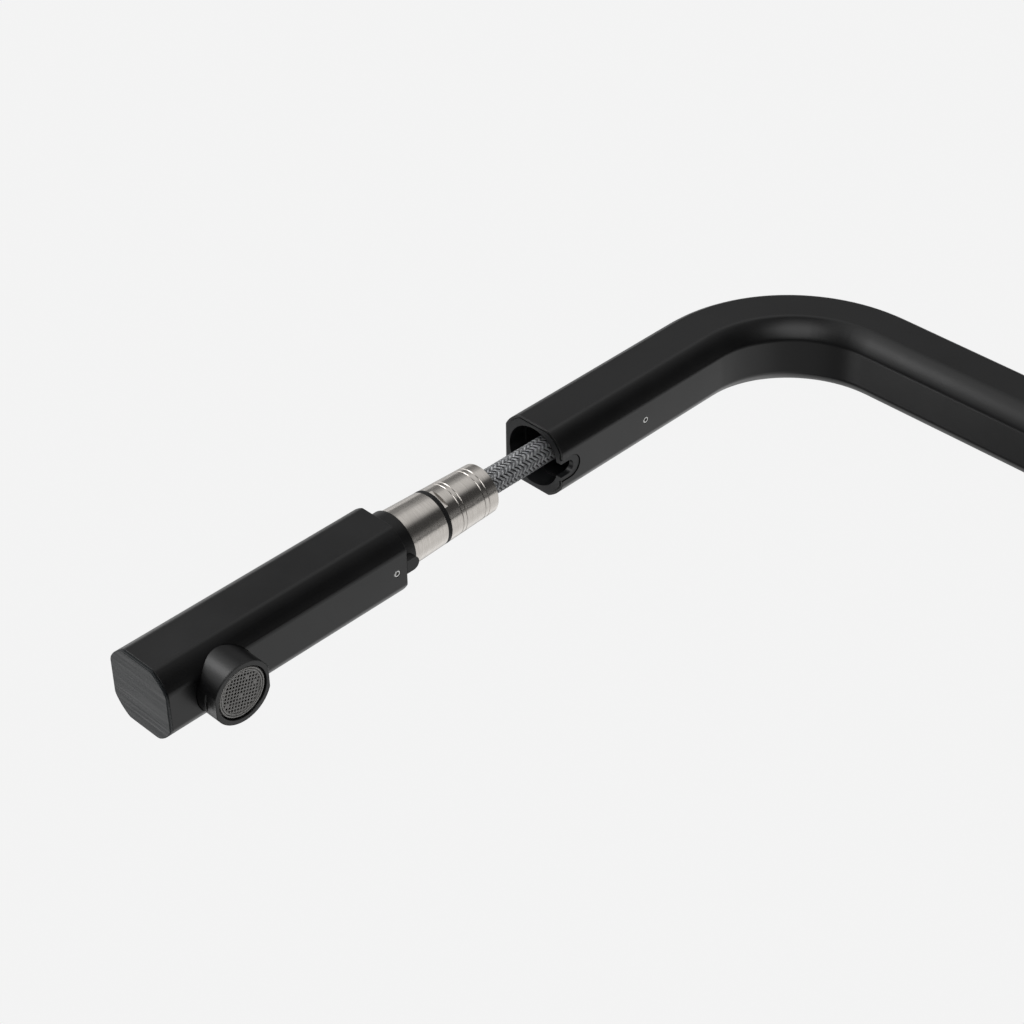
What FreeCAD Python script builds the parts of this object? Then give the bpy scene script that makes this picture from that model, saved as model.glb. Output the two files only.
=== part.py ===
"""Pull-out kitchen faucet: a swivel spout of flattened round section with a docking spray head.

Row frame: +Z is up, the origin is the centre of the base plate's underside on the worktop, and the
arm points along -Y. The single lever is on the +X side. Millimetres.
"""

import FreeCAD, Part
import math
import os
import re
import Sketcher

V = FreeCAD.Vector
DIMS = {
    # spout
    "flat": 15.0,  # half the distance across the section's flats
    "corner": 16.86,  # radius of the section's rounded corners, about its centre
    "spout_bore": 12.5,
    "arm_rise": 300.0,  # arm's centreline above the worktop
    "reach": 146.3,  # riser's centreline to the arm's mouth
    "bend": 55.2,  # bend radius of the centreline
    "spout_foot": 110.0,
    "mouth_wall": 1.1,
    "mouth_depth": 12.0,
    "slot_half": 5.05,  # keyway in the lower flat of the mouth
    "slot_depth": 9.7,
    # docking liner
    "liner": 12.4,
    "liner_length": 58.0,
    "liner_proud": 0.4,
    "rim_half": 4.75,
    "rim_sunk": 0.35,
    "key_slot_half": 3.1,
    "key_slot_depth": 6.3,
    "dock_bore": 12.6,
    "dock_depth": 8.0,
    "cone_mouth": 11.9,
    "cone_end": 10.32,
    # set screws
    "arm_screw_at": 46.9,  # behind the mouth
    "head_screw_at": 4.9,  # in front of the head's shoulder
    "screw": 1.5,
    "screw_length": 2.9,
    "socket_flats": 1.5,
    # spray head
    "pulled": 80.6,  # mouth to the head's shoulder
    "head_length": 109.2,
    "cap_thick": 1.2,
    "cap_spigot": 5.0,
    "nozzle_at": 84.5,  # shoulder to the nozzle's centreline
    "nozzle_drop": 24.2,  # nozzle's rim below the head's centreline
    "nozzle": 12.4,
    "nozzle_height": 29.2,
    "nozzle_flat": 11.7,
    "aerator_bore": 10.4,
    "aerator_depth": 8.0,
    "collar": 12.3,
    "collar_length": 7.3,
    "collar_spigot": 11.4,
    "key_half": 2.8,
    "key_length": 5.9,
    "thread": 8.3,
    # hose connector
    "connector_rear": 29.0,  # mouth to the connector's rear end
    "connector_length": 44.3,
    "nut_length": 25.0,
    "ring_width": 2.0,
    "sleeve_rear": 10.15,
    "sleeve_middle": 10.95,
    "sleeve_front": 11.55,
    "stub": 9.4,
    "stub_length": 10.0,
    "nut_flat": 10.0,
    "line_depth": 0.16,  # engraved rings
    "line_half": 0.22,
    # hose
    "hose": 5.3,
    "hose_shift": 6.3,  # hose in front of the base's centreline
    "hose_tuck": 87.0,  # where the sliding stretch of hose starts, behind the mouth
    "ferrule": 5.9,
    # valve body
    "body_flat": 20.0,
    "body_corner": 22.5,
    "plate_flat": 25.0,
    "plate_corner": 28.1,
    "plate_thick": 6.0,
    "body_top": 109.2,
    "body_bore": 11.5,
    "bore_floor": 38.0,
    "passage": 6.2,
    "swivel_bore": 15.0,
    "swivel_floor": 78.0,
    "neck": 12.45,
    "neck_bore": 10.6,
    "groove_rise": 94.5,
    "groove_angle": 162.0,
    "port": 4.0,
    "port_depth": 14.0,
    "inlet_side": 7.5,
    "inlet_back": 2.2,
    "outlet_back": 9.6,
    # mounting through the worktop
    "shank": 16.5,
    "shank_bore": 14.5,
    "shank_top": 18.0,
    "shank_length": 55.0,
    "deck": 30.0,
    # cartridge and lever
    "valve_rise": 60.0,
    "seat": 22.0,
    "boss": 16.0,
    "boss_end": 42.0,
    "cartridge": 12.3,
    "pivot": 37.5,
    "dome": 17.0,
    "dome_wall": 1.2,
    "dome_mouth": 11.0,
    "hub_hollow": 17.5,
    "hub": 18.0,
    "hub_start": 44.5,
    "hub_end": 62.0,
    "stem": 3.9,
    "ball_at": 32.6,
    "pin": 1.25,
    "lever_top": 92.0,  # above the valve's centreline
    "lever_half": 4.5,
    "lever_corner": 5.06,
    "lever_at": 56.5,
    # put-away coil of the hose under the worktop
    "coil_back": 10.0,
    "coil_drop": 200.0,
    "coil": 53.0,  # middle of its turns
    "coil_half": 19.7,
    "outlet_out": 38.0,  # the outlet tube's lower end
    "outlet_side": 8.0,
}
UPRIGHT = FreeCAD.Rotation()
ALONG_ARM = FreeCAD.Rotation(V(1, 0, 0), 90)  # own +Z points out of the mouth, own +Y up
UP_ARM = FreeCAD.Rotation(V(1, 0, 0), -90)  # own +Z points to +Y
SIDEWAYS = FreeCAD.Rotation(V(0, 1, 0), 90)  # own +Z points to +X
BACKWARDS = FreeCAD.Rotation(V(1, 0, 0), 90)  # own +Z points to -Y
WRENCH_TURN = FreeCAD.Rotation(V(0, 0, 1), -18)  # of the connector nut's spanner flats
HEAD = ("0", "-reach - pulled", "arm_rise")  # head's shoulder
NOZZLE = ("0", "-reach - pulled - nozzle_at", "arm_rise - nozzle_drop")
CARTRIDGE = ("seat", "0", "valve_rise")

doc = FreeCAD.newDocument("Faucet")
sheet = doc.addObject("Spreadsheet::Sheet", "Dims")
for row, (alias, number) in enumerate(DIMS.items(), start=1):
    sheet.set(f"A{row}", alias)
    sheet.set(f"B{row}", str(number))
    sheet.setAlias(f"B{row}", alias)
doc.recompute()
nodes = []


def size(alias):
    return float(sheet.get(alias))


def tie(thing, prop, text):
    """Binds a property to an expression of the spreadsheet's names."""
    linked = re.sub(r"[a-z_]+", lambda m: f"Dims.{m[0]}" if m[0] in DIMS else m[0], str(text))
    thing.setExpression(prop, linked)


def place(thing, at, turn=UPRIGHT):
    thing.Placement = FreeCAD.Placement(V(), turn)
    for axis, text in zip("xyz", at, strict=True):
        tie(thing, f".Placement.Base.{axis}", text)


def node(thing):
    """Marks a finished sub-part, whose label names its file."""
    nodes.append(thing)
    return thing


# Part primitives and booleans


def cylinder(name, radius, length, at=("0", "0", "0"), turn=UPRIGHT):
    made = doc.addObject("Part::Cylinder", name)
    tie(made, "Radius", radius)
    tie(made, "Height", length)
    place(made, at, turn)
    return made


def sphere(name, radius, at):
    made = doc.addObject("Part::Sphere", name)
    tie(made, "Radius", radius)
    place(made, at)
    return made


def box(name, lengths, at, turn=UPRIGHT):
    made = doc.addObject("Part::Box", name)
    for prop, text in zip(("Length", "Width", "Height"), lengths, strict=True):
        tie(made, prop, text)
    place(made, at, turn)
    return made


def joined(name, *parts):
    made = doc.addObject("Part::MultiFuse", name)
    made.Shapes = list(parts)
    return made


def cut(name, base, *tools):
    made = doc.addObject("Part::Cut", name)
    made.Base = base
    made.Tool = tools[0] if len(tools) == 1 else joined(f"{name}_tools", *tools)
    return made


# PartDesign bodies


def new_body(name):
    return doc.addObject("PartDesign::Body", name)


def new_sketch(body, name, role, along="0", up="0"):
    """A sketch on one of the body's own origin planes, moved along its normal and along its own Y."""
    made = body.newObject("Sketcher::SketchObject", name)
    plane = next(f for f in body.Origin.OriginFeatures if f.Role == role)
    made.AttachmentSupport = [(plane, "")]
    made.MapMode = "FlatFace"
    tie(made, ".AttachmentOffset.Base.z", along)
    tie(made, ".AttachmentOffset.Base.y", up)
    return made


def hold(sketch, kind, refs, text, first=1.0):
    """Adds a dimension to the sketch and binds it to the spreadsheet."""
    number = sketch.addConstraint(Sketcher.Constraint(kind, *refs, first))
    tie(sketch, f"Constraints[{number}]", text)


def draw_outline(sketch, points):
    """A closed outline of straight lines through points given as (across, along)."""
    count = len(points)
    loop = [V(9 + 5 * math.cos(i * math.tau / count), 5 * math.sin(i * math.tau / count), 0)
            for i in range(count)]
    for here, there in zip(loop, loop[1:] + loop[:1], strict=True):
        sketch.addGeometry(Part.LineSegment(here, there), False)
    for i, (across, along) in enumerate(points):
        sketch.addConstraint(Sketcher.Constraint("Coincident", i, 1, (i - 1) % count, 2))
        hold(sketch, "DistanceX", (-1, 1, i, 1), across, loop[i].x)
        hold(sketch, "DistanceY", (-1, 1, i, 1), along, loop[i].y)


def draw_circle(sketch, radius, rise=None):
    centre = V(0, size(rise) if rise else 0, 0)
    number = sketch.addGeometry(Part.Circle(centre, V(0, 0, 1), 5.0), False)
    hold(sketch, "Radius", (number,), radius, 5.0)
    hold(sketch, "DistanceX", (-1, 1, number, 3), "0", 0.0)
    hold(sketch, "DistanceY", (-1, 1, number, 3), rise or "0", centre.y)


def draw_section(sketch, half, corner, rise=None):
    """A circle with a flat cut on each of its four sides, the shape of the spout and the head. Its
    centre is on the sketch's own Y, at the named height."""
    start = 8.0
    centre = V(0, size(rise) if rise else 0, 0)
    circle = Part.Circle(centre, V(0, 0, 1), start)
    quarter = math.pi / 2
    for i in range(4):
        sketch.addGeometry(Part.ArcOfCircle(circle, (i + 0.3) * quarter, (i + 0.7) * quarter), False)
    arcs = list(sketch.Geometry)
    for i in range(4):
        flat_edge = Part.LineSegment(arcs[i].EndPoint, arcs[(i + 1) % 4].StartPoint)
        sketch.addGeometry(flat_edge, False)
        sketch.addConstraint(Sketcher.Constraint("Coincident", i, 2, 4 + i, 1))
        sketch.addConstraint(Sketcher.Constraint("Coincident", 4 + i, 2, (i + 1) % 4, 1))
    for i in range(1, 4):
        sketch.addConstraint(Sketcher.Constraint("Coincident", 0, 3, i, 3))
        sketch.addConstraint(Sketcher.Constraint("Equal", 0, i))
    for line, kind in ((4, "Horizontal"), (5, "Vertical"), (6, "Horizontal"), (7, "Vertical")):
        sketch.addConstraint(Sketcher.Constraint(kind, line))
    away = start * math.cos(0.3 * quarter)
    hold(sketch, "DistanceX", (-1, 1, 0, 3), "0", 0.0)
    hold(sketch, "DistanceY", (-1, 1, 0, 3), rise or "0", centre.y)
    hold(sketch, "Radius", (0,), corner, start)
    hold(sketch, "DistanceY", (0, 3, 4, 1), half, away)
    hold(sketch, "DistanceX", (5, 1, 0, 3), half, away)
    hold(sketch, "DistanceY", (6, 1, 0, 3), half, away)
    hold(sketch, "DistanceX", (0, 3, 7, 1), half, away)


def pad(body, sketch, length):
    made = body.newObject("PartDesign::Pad", f"{sketch.Name}_pad")
    made.Profile = sketch
    tie(made, "Length", length)


def pocket(body, sketch, length):
    """Cuts against the sketch plane's normal."""
    made = body.newObject("PartDesign::Pocket", f"{sketch.Name}_pocket")
    made.Profile = sketch
    tie(made, "Length", length)


def revolve(body, sketch, axis="V_Axis", angle=360.0):
    made = body.newObject("PartDesign::Revolution", f"{sketch.Name}_revolution")
    made.Profile = sketch
    made.ReferenceAxis = (sketch, [axis])
    made.Angle = angle


def turned(name, outline, at=("0", "0", "0"), turn=UPRIGHT):
    """A lathe part: its outline of (radius, height) pairs is spun about its own Z axis."""
    body = new_body(name)
    sketch = new_sketch(body, f"{name}_outline", "XZ_Plane")
    draw_outline(sketch, outline)
    revolve(body, sketch)
    place(body, at, turn)
    return body


def ring(name, outer, inner, length, at=("0", "0", "0"), turn=UPRIGHT):
    """A plain ring or sleeve whose rear end is at the given point."""
    return turned(name, [(inner, "0"), (outer, "0"), (outer, length), (inner, length)], at, turn)


def bar(name, half, corner, length, at=("0", "0", "0"), turn=UPRIGHT, bore=None):
    """A straight bar, or a tube, of the spout's kind of section."""
    body = new_body(name)
    sketch = new_sketch(body, f"{name}_section", "XY_Plane")
    draw_section(sketch, half, corner)
    if bore:
        draw_circle(sketch, bore)
    pad(body, sketch, length)
    place(body, at, turn)
    return body


def keyway(name, half, centre, length, bottom, height):
    """A slot along own Z with a round end: half its width, centre of the round end, length from
    there, lowest own Y and height."""
    straight = box(f"{name}_straight", (f"2 * {half}", height, length), (f"-{half}", bottom, centre))
    end = cylinder(f"{name}_end", half, height, ("0", bottom, centre), UP_ARM)
    return joined(name, straight, end)


def set_screw(name, radius, length, at, turn=UPRIGHT, flats="socket_flats"):
    """A headless screw with a hexagon socket: its outer end is at the point, its own +Z inwards."""
    outline = [("0", "0"), (f"{radius} - 0.25", "0"), (radius, "0.25"), (radius, f"{length} - 0.5"),
               (f"{radius} - 0.5", length), ("0", length)]
    rod = turned(f"{name}_rod", outline, at, turn)
    socket = doc.addObject("Part::Prism", f"{name}_socket")
    socket.Polygon = 6
    tie(socket, "Circumradius", f"{flats} / 1.732")
    tie(socket, "Height", f"{length} / 2")
    place(socket, at, turn)
    return cut(name, rod, socket)


def local_cut(name, base, tools, at, turn):
    """Cuts tools given in the sub-part's own frame, then puts the sub-part in its place."""
    made = cut(name, base, *tools)
    place(made, at, turn)
    return made


# Spout


def make_spout():
    body = new_body("spout_tube")
    riser = new_sketch(body, "riser", "XY_Plane", "spout_foot")
    draw_section(riser, "flat", "corner")
    draw_circle(riser, "spout_bore")
    pad(body, riser, "arm_rise - bend - spout_foot")
    elbow = new_sketch(body, "elbow", "XY_Plane", "arm_rise - bend", "-bend")
    draw_section(elbow, "flat", "corner", "bend")
    draw_circle(elbow, "spout_bore", "bend")
    revolve(body, elbow, "H_Axis", 90.0)
    arm = new_sketch(body, "arm", "XZ_Plane", "bend", "arm_rise")
    draw_section(arm, "flat", "corner")
    draw_circle(arm, "spout_bore")
    pad(body, arm, "reach - bend")
    mouth = new_sketch(body, "mouth", "XZ_Plane", "reach", "arm_rise")
    draw_section(mouth, "flat - mouth_wall", "corner - mouth_wall")
    pocket(body, mouth, "mouth_depth")
    slot = keyway("arm_keyway", "slot_half", "slot_half - slot_depth", "slot_depth", "-flat - 1", "3")
    place(slot, ("0", "-reach", "arm_rise"), ALONG_ARM)
    below = ("0", "arm_screw_at - reach", "arm_rise - flat - 0.5")
    hole = cylinder("arm_screw_hole", "screw", "4", below)
    return cut("spout", body, slot, hole)


def make_docking_liner():
    """A guide tube whose flange fills the mouth, with a rim round the key's slot."""
    full = "liner_length + liner_proud"
    sleeve = turned("liner_sleeve", [("cone_end", "0"), ("liner", "0"), ("liner", "liner_length - 6"),
                                     ("cone_mouth", "liner_length - 6")])
    flange = bar("liner_flange", "flat - mouth_wall - 0.1", "corner - mouth_wall - 0.1",
                 "mouth_depth + liner_proud - 0.1", ("0", "0", "liner_length - mouth_depth + 0.1"))
    tip = "liner_length - slot_depth + slot_half"
    rim = keyway("key_rim", "rim_half", tip, f"{full} - ({tip})", "-flat + rim_sunk", "3")
    blank = joined("liner_blank", sleeve, flange, rim)
    bore = turned("liner_bore", [("0", "-1"), ("cone_end", "-1"), ("cone_end", "0"),
                                 ("cone_mouth", "liner_length - dock_depth"),
                                 ("dock_bore", "liner_length - dock_depth"),
                                 ("dock_bore", f"{full} + 1"), ("0", f"{full} + 1")])
    notch_tip = "liner_length - key_slot_depth + key_slot_half"
    notch = keyway("key_notch", "key_slot_half", notch_tip, f"{full} - ({notch_tip}) + 1", "-flat - 2", "8")
    below = ("0", "-13", "liner_length - arm_screw_at")
    dimple = cylinder("liner_dimple", "screw + 0.05", "2", below, UP_ARM)
    return local_cut("docking_liner", blank, (bore, notch, dimple),
                     ("0", "liner_length - reach", "arm_rise"), ALONG_ARM)


# Spray head, with lengths counted from its shoulder


def make_head_shell():
    tube = bar("head_tube", "flat", "corner", "head_length - cap_thick", bore="spout_bore")
    below = ("0", "-flat - 5", "nozzle_at")
    opening = cylinder("nozzle_hole", "nozzle + 0.05", "flat + 5", below, UP_ARM)
    hole = cylinder("head_screw_hole", "screw", "4", ("0", "-flat - 0.5", "head_screw_at"), UP_ARM)
    return local_cut("head_shell", tube, (opening, hole), HEAD, ALONG_ARM)


def make_head_end_cap():
    plate = bar("cap_plate", "flat", "corner", "cap_thick", ("0", "0", "head_length - cap_thick"))
    chamfer = doc.addObject("Part::Chamfer", "cap_chamfer")
    chamfer.Base = plate
    doc.recompute()
    rim = [i + 1 for i, edge in enumerate(plate.Shape.Edges)
           if abs(edge.CenterOfMass.z - size("head_length")) < 0.01]
    chamfer.Edges = [(i, 0.3, 0.3) for i in rim]
    spigot = ring("cap_spigot_ring", "liner", "liner - 1.5", "cap_spigot + 0.2",
                  ("0", "0", "head_length - cap_thick - cap_spigot"))
    cap = joined("head_end_cap", chamfer, spigot)
    place(cap, HEAD, ALONG_ARM)
    return cap


def make_dock_collar():
    end = "collar_length + collar_spigot"
    barrel = turned("collar_barrel", [("thread + 0.1", "0"), ("collar - 0.3", "0"), ("collar", "0.3"),
                                      ("collar", "collar_length"), ("liner", "collar_length"),
                                      ("liner", end), ("thread + 0.1", end)])
    tip = "collar_length - key_length + key_half"
    key = keyway("collar_key", "key_half", tip, f"collar_length - ({tip})", "-flat", "4")
    blank = joined("collar_blank", barrel, key)
    below = ("0", "-13", "collar_length + head_screw_at")
    dimple = cylinder("collar_dimple", "screw + 0.05", "2", below, UP_ARM)
    return local_cut("dock_collar", blank, (dimple,),
                     ("0", "-reach - pulled + collar_length", "arm_rise"), ALONG_ARM)


def make_nozzle_housing():
    shell = turned("nozzle_cup", [("aerator_bore", "0"), ("nozzle - 0.2", "0"), ("nozzle", "0.2"),
                                  ("nozzle", "nozzle_drop - 0.2"), ("11", "nozzle_drop - 0.2"),
                                  ("11", "nozzle_height"), ("0", "nozzle_height"),
                                  ("0", "nozzle_height - 1.7"), ("8.5", "nozzle_height - 1.7"),
                                  ("8.5", "aerator_depth"), ("aerator_bore", "aerator_depth")])
    front = box("nozzle_front_flat", ("20", "2", "5"), ("-10", "-nozzle_flat - 2", "-0.1"))
    back = box("nozzle_back_flat", ("20", "2", "5"), ("-10", "nozzle_flat", "-0.1"))
    port = cylinder("nozzle_port", "port + 0.1", "8", ("0", "6", "nozzle_drop"), UP_ARM)
    return local_cut("nozzle_housing", shell, (front, back, port), NOZZLE, UPRIGHT)


def make_aerator():
    node(turned("aerator_insert", [("9", "0"), ("9.9", "0"), ("9.9", "1.5"), ("10.2", "1.5"),
                                   ("10.2", "6.7"), ("6", "6.7"), ("6", "2"), ("9", "2")], NOZZLE))
    node(cylinder("aerator_screen", "8.9", "0.7", shifted(NOZZLE, "0.6")))
    node(ring("aerator_seal", "10.3", "8.7", "1.2", shifted(NOZZLE, "6.75")))


def shifted(at, rise):
    return at[0], at[1], f"{at[2]} + {rise}"


# Hose connector, with lengths counted from each piece's own rear end


def make_connector_body():
    stub = "stub_length"
    front = "connector_length - nut_length + stub_length"
    end = f"{front} + 12.7"
    return turned("connector_body", [
        ("port + 0.3", "0"), ("stub", "0"), ("stub", stub), ("stub + 0.2", stub),
        ("stub + 0.2", f"{stub} + ring_width"), ("sleeve_middle + 0.05", f"{stub} + ring_width"),
        ("sleeve_front", front), ("thread", front), ("thread", end), ("port + 0.1", end),
        ("port + 0.1", f"{front} + 7"), ("6", f"{front} + 7"), ("6", "20"), ("port + 0.3", "20"),
    ], ("0", "-reach - connector_rear - nut_length + stub_length", "arm_rise"), ALONG_ARM)


def make_connector_nut():
    """A tapered sleeve with engraved rings, and spanner flats at its front edge."""
    outline = [("hose + 0.2", "0"), ("sleeve_rear - 0.3", "0"), ("sleeve_rear", "0.3")]
    for along in (5.0, 7.2, 17.1, 19.0):
        surface = f"sleeve_rear + (sleeve_middle - sleeve_rear) * {along} / nut_length"
        outline += [(surface, f"{along} - line_half"), (f"{surface} - line_depth", str(along)),
                    (surface, f"{along} + line_half")]
    outline += [("sleeve_middle", "nut_length"), ("stub + 0.1", "nut_length"),
                ("stub + 0.1", "nut_length - stub_length - 0.3"),
                ("7", "nut_length - stub_length - 0.3"), ("7", "3"), ("hose + 0.2", "3")]
    sleeve = turned("nut_sleeve", outline)
    sides = ("3", "20", "1.6")
    near = box("nut_near_flat", sides, ("nut_flat", "-10", "nut_length - 1.6"))
    far = box("nut_far_flat", sides, ("-nut_flat - 3", "-10", "nut_length - 1.6"))
    flats = joined("nut_flats", near, far)
    place(flats, ("0", "0", "0"), WRENCH_TURN)
    at = ("0", "-reach - connector_rear", "arm_rise")
    return local_cut("connector_nut", sleeve, (flats,), at, ALONG_ARM)


# Hose and pipe


def arc_middle(start, corner, end):
    """The middle of the arc that leaves start towards corner and arrives at end."""
    half = (corner - start).getAngle(end - corner) / 2
    radius = (corner - start).Length / math.tan(half)
    inward = ((start + end) * 0.5 - corner).normalize()
    return corner + inward * (radius / math.cos(half) - radius)


def bent_wire(points, radius=None):
    """Straight runs through the points, joined by tangent arcs of the radius, or else by arcs as
    large as the runs allow."""
    edges, last, radii = [], points[0], []
    for before, here, after in zip(points, points[1:], points[2:]):
        half = (here - before).getAngle(after - here) / 2
        shorter = min((here - before).Length, (after - here).Length)
        back = radius * math.tan(half) if radius else 0.45 * shorter
        radii.append(back / math.tan(half))
        start = here - (here - before).normalize() * back
        end = here + (after - here).normalize() * back
        edges.append(Part.LineSegment(last, start).toShape())
        edges.append(Part.Arc(start, arc_middle(start, here, end), end).toShape())
        last = end
    edges.append(Part.LineSegment(last, points[-1]).toShape())
    return Part.Wire(edges), radii


def pipe(name, outer, points, radius=None, inner=0.0):
    """A round pipe, or a plain solid hose where inner is 0."""
    wire, radii = bent_wire(points, radius)
    along = points[1] - points[0]
    made = doc.addObject("Part::Feature", name)
    shapes = []
    for wall in (outer, inner) if inner else (outer,):
        circle = Part.Wire(Part.Circle(points[0], along, wall).toShape())
        shapes.append(wire.makePipeShell([circle], True, False))
    made.Shape = shapes[0].cut(shapes[1]) if inner else shapes[0]
    area = math.pi * (outer**2 - inner**2)
    print(f"{name}: length {wire.Length:.1f}, volume over section {made.Shape.Volume / area:.1f},"
          f" smallest radius {min(radii, default=0):.0f}")
    return node(made)


def make_hose():
    """The hose, stretch by stretch from the connector to the outlet tube."""
    hose, reach, rise = size("hose"), size("reach"), size("arm_rise")
    tuck = -reach + size("hose_tuck")
    shift = -size("hose_shift")
    pipe("hose_pull", hose, [V(0, tuck, rise), V(0, -reach - size("connector_rear") - 4, rise)])
    pipe("hose_spout", hose, [V(0, tuck, rise), V(0, 0, rise), V(0, 0, 100)], size("bend"))
    pipe("hose_base", hose, [V(0, 0, 100), V(0, 0, 76), V(0, shift, 46), V(0, shift, -54)], 60.0)
    lower_end = V(size("outlet_side"), size("outlet_out"), -120)
    pipe("hose_drop", hose, [V(0, shift, -54), V(-4, -10, -104), V(-10.5, -20, -154), V(-14.1, -46, -184)])
    pipe("hose_rise", hose, [V(15, 66, -188), V(11, 41.5, -160), lower_end])


def make_hose_coil():
    """The outer shape of the put-away turns, one ring."""
    half = "coil_half"
    return ring("hose_coil", "coil + hose + 0.3", "coil - hose - 0.3", f"2 * {half}",
                (f"-{half}", "coil_back", "-coil_drop"), SIDEWAYS)


def make_hose_tie():
    """A strap round the put-away turns at their lowest point."""
    gap = "(hose + 0.6)"
    outer = box("tie_outside", ("2 * coil_half + 2.4", "6", f"2 * {gap} + 2.4"),
                ("-coil_half - 1.2", "coil_back - 3", f"-coil_drop - coil - {gap} - 1.2"))
    inner = box("tie_inside", ("2 * coil_half + 0.4", "6", f"2 * {gap}"),
                ("-coil_half - 0.2", "coil_back - 3", f"-coil_drop - coil - {gap}"))
    return cut("hose_tie", outer, inner)


def make_hose_end_connector():
    """A crimped end for the hose, with a nut over the outlet tube's nipple."""
    return turned("hose_end_connector", [
        ("3", "0"), ("6.4", "0"), ("6.4", "12"), ("8", "12"), ("8", "22"), ("port + 0.1", "22"),
        ("port + 0.1", "13.5"), ("3", "13.5"),
    ], ("outlet_side", "outlet_out", "-120"))


def make_outlet_tube():
    out, side = size("outlet_out"), size("outlet_side")
    back, tube = size("outlet_back"), size("port")
    points = [V(0, back, 30), V(0, back, -68), V(side, out, -90), V(side, out, -106)]
    return pipe("outlet_tube", tube, points, 16.0, tube - 1)


# Base


def make_base_body():
    """The valve body, with its side boss, swivel socket, hose passage and ports."""
    height = "body_top - plate_thick"
    block = bar("body_block", "body_flat", "body_corner", height, ("0", "0", "plate_thick"))
    boss = cylinder("body_boss", "boss", "boss_end", ("0", "0", "valve_rise"), SIDEWAYS)
    under = "shank_top - 1"
    hollows = [
        cylinder("cartridge_chamber", "cartridge + 0.2", "boss_end", CARTRIDGE, SIDEWAYS),
        cylinder("neck_room", "body_bore", "swivel_floor - bore_floor + 1", ("0", "0", "bore_floor")),
        cylinder("swivel_socket", "swivel_bore", "body_top - swivel_floor + 1", ("0", "0", "swivel_floor")),
        cylinder("hose_passage", "passage", "bore_floor - shank_top + 2", ("0", "-hose_shift", under)),
        cylinder("shank_socket", "shank + 0.1", f"{under} - plate_thick + 2", ("0", "0", "plate_thick - 1")),
        cylinder("cold_port", "port", "port_depth + 1", ("inlet_side", "inlet_back", under)),
        cylinder("hot_port", "port", "port_depth + 1", ("-inlet_side", "inlet_back", under)),
        cylinder("outlet_port", "port + 0.1", "port_depth + 1", ("0", "outlet_back", under)),
        cylinder("stop_screw_hole", "2.05", "10", ("0", "12", "groove_rise"), UP_ARM),
    ]
    return cut("base_body", joined("body_blank", block, boss), *hollows)


def make_base():
    plate = bar("plate_blank", "plate_flat", "plate_corner", "plate_thick")
    hole = cylinder("plate_hole", "shank + 0.5", "plate_thick")
    groove = ring("seal_groove", "shank + 6", "shank + 4", "1.6")
    node(cut("base_plate", plate, hole, groove))
    node(ring("base_seal", "shank + 5.8", "shank + 4.2", "1.4", ("0", "0", "0.1")))
    full = "shank_length + shank_top"
    node(ring("mounting_shank", "shank", "shank_bore", full, ("0", "0", "-shank_length")))
    node(ring("deck_gasket", "27", "shank + 0.5", "2", ("0", "0", "-deck - 2")))
    node(ring("mounting_washer", "26", "shank + 0.5", "2", ("0", "0", "-deck - 4")))
    nut = doc.addObject("Part::Prism", "nut_blank")
    nut.Polygon = 6
    tie(nut, "Circumradius", "25")
    tie(nut, "Height", "10")
    place(nut, ("0", "0", "-deck - 14"))
    node(cut("mounting_nut", nut, cylinder("nut_thread", "shank + 0.1", "10", ("0", "0", "-deck - 14"))))


def make_swivel():
    """The neck that is fixed in the spout's foot, its bushes, washer and stop screw."""
    start = "swivel_floor + 2.3"
    tube = ring("neck_tube", "neck", "neck_bore", f"140 - ({start})", ("0", "0", start))
    to_back = FreeCAD.Rotation(V(0, 0, 1), 90 - size("groove_angle") / 2)
    foot = ("0", "0", "groove_rise - 2.5")
    outside = cylinder("groove_outside", "neck + 1", "5", foot, to_back)
    inside = cylinder("groove_inside", "neck - 1", "5", foot, to_back)
    tie(outside, "Angle", "groove_angle")
    node(cut("swivel_neck", tube, cut("stop_groove", outside, inside)))
    node(ring("lower_bush", "swivel_bore - 0.05", "neck + 0.1", "6", ("0", "0", "swivel_floor")))
    node(ring("upper_bush", "swivel_bore - 0.05", "neck + 0.1", "7", ("0", "0", "body_top - 7.2")))
    node(ring("swivel_washer", "flat - 0.4", "neck + 0.1", "0.7", ("0", "0", "body_top + 0.05")))
    node(set_screw("swivel_stop_screw", "2", "body_flat - neck + 0.65", ("0", "body_flat", "groove_rise"),
                   BACKWARDS, "2"))


# Cartridge and lever, with lengths counted from the cartridge's seat


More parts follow.
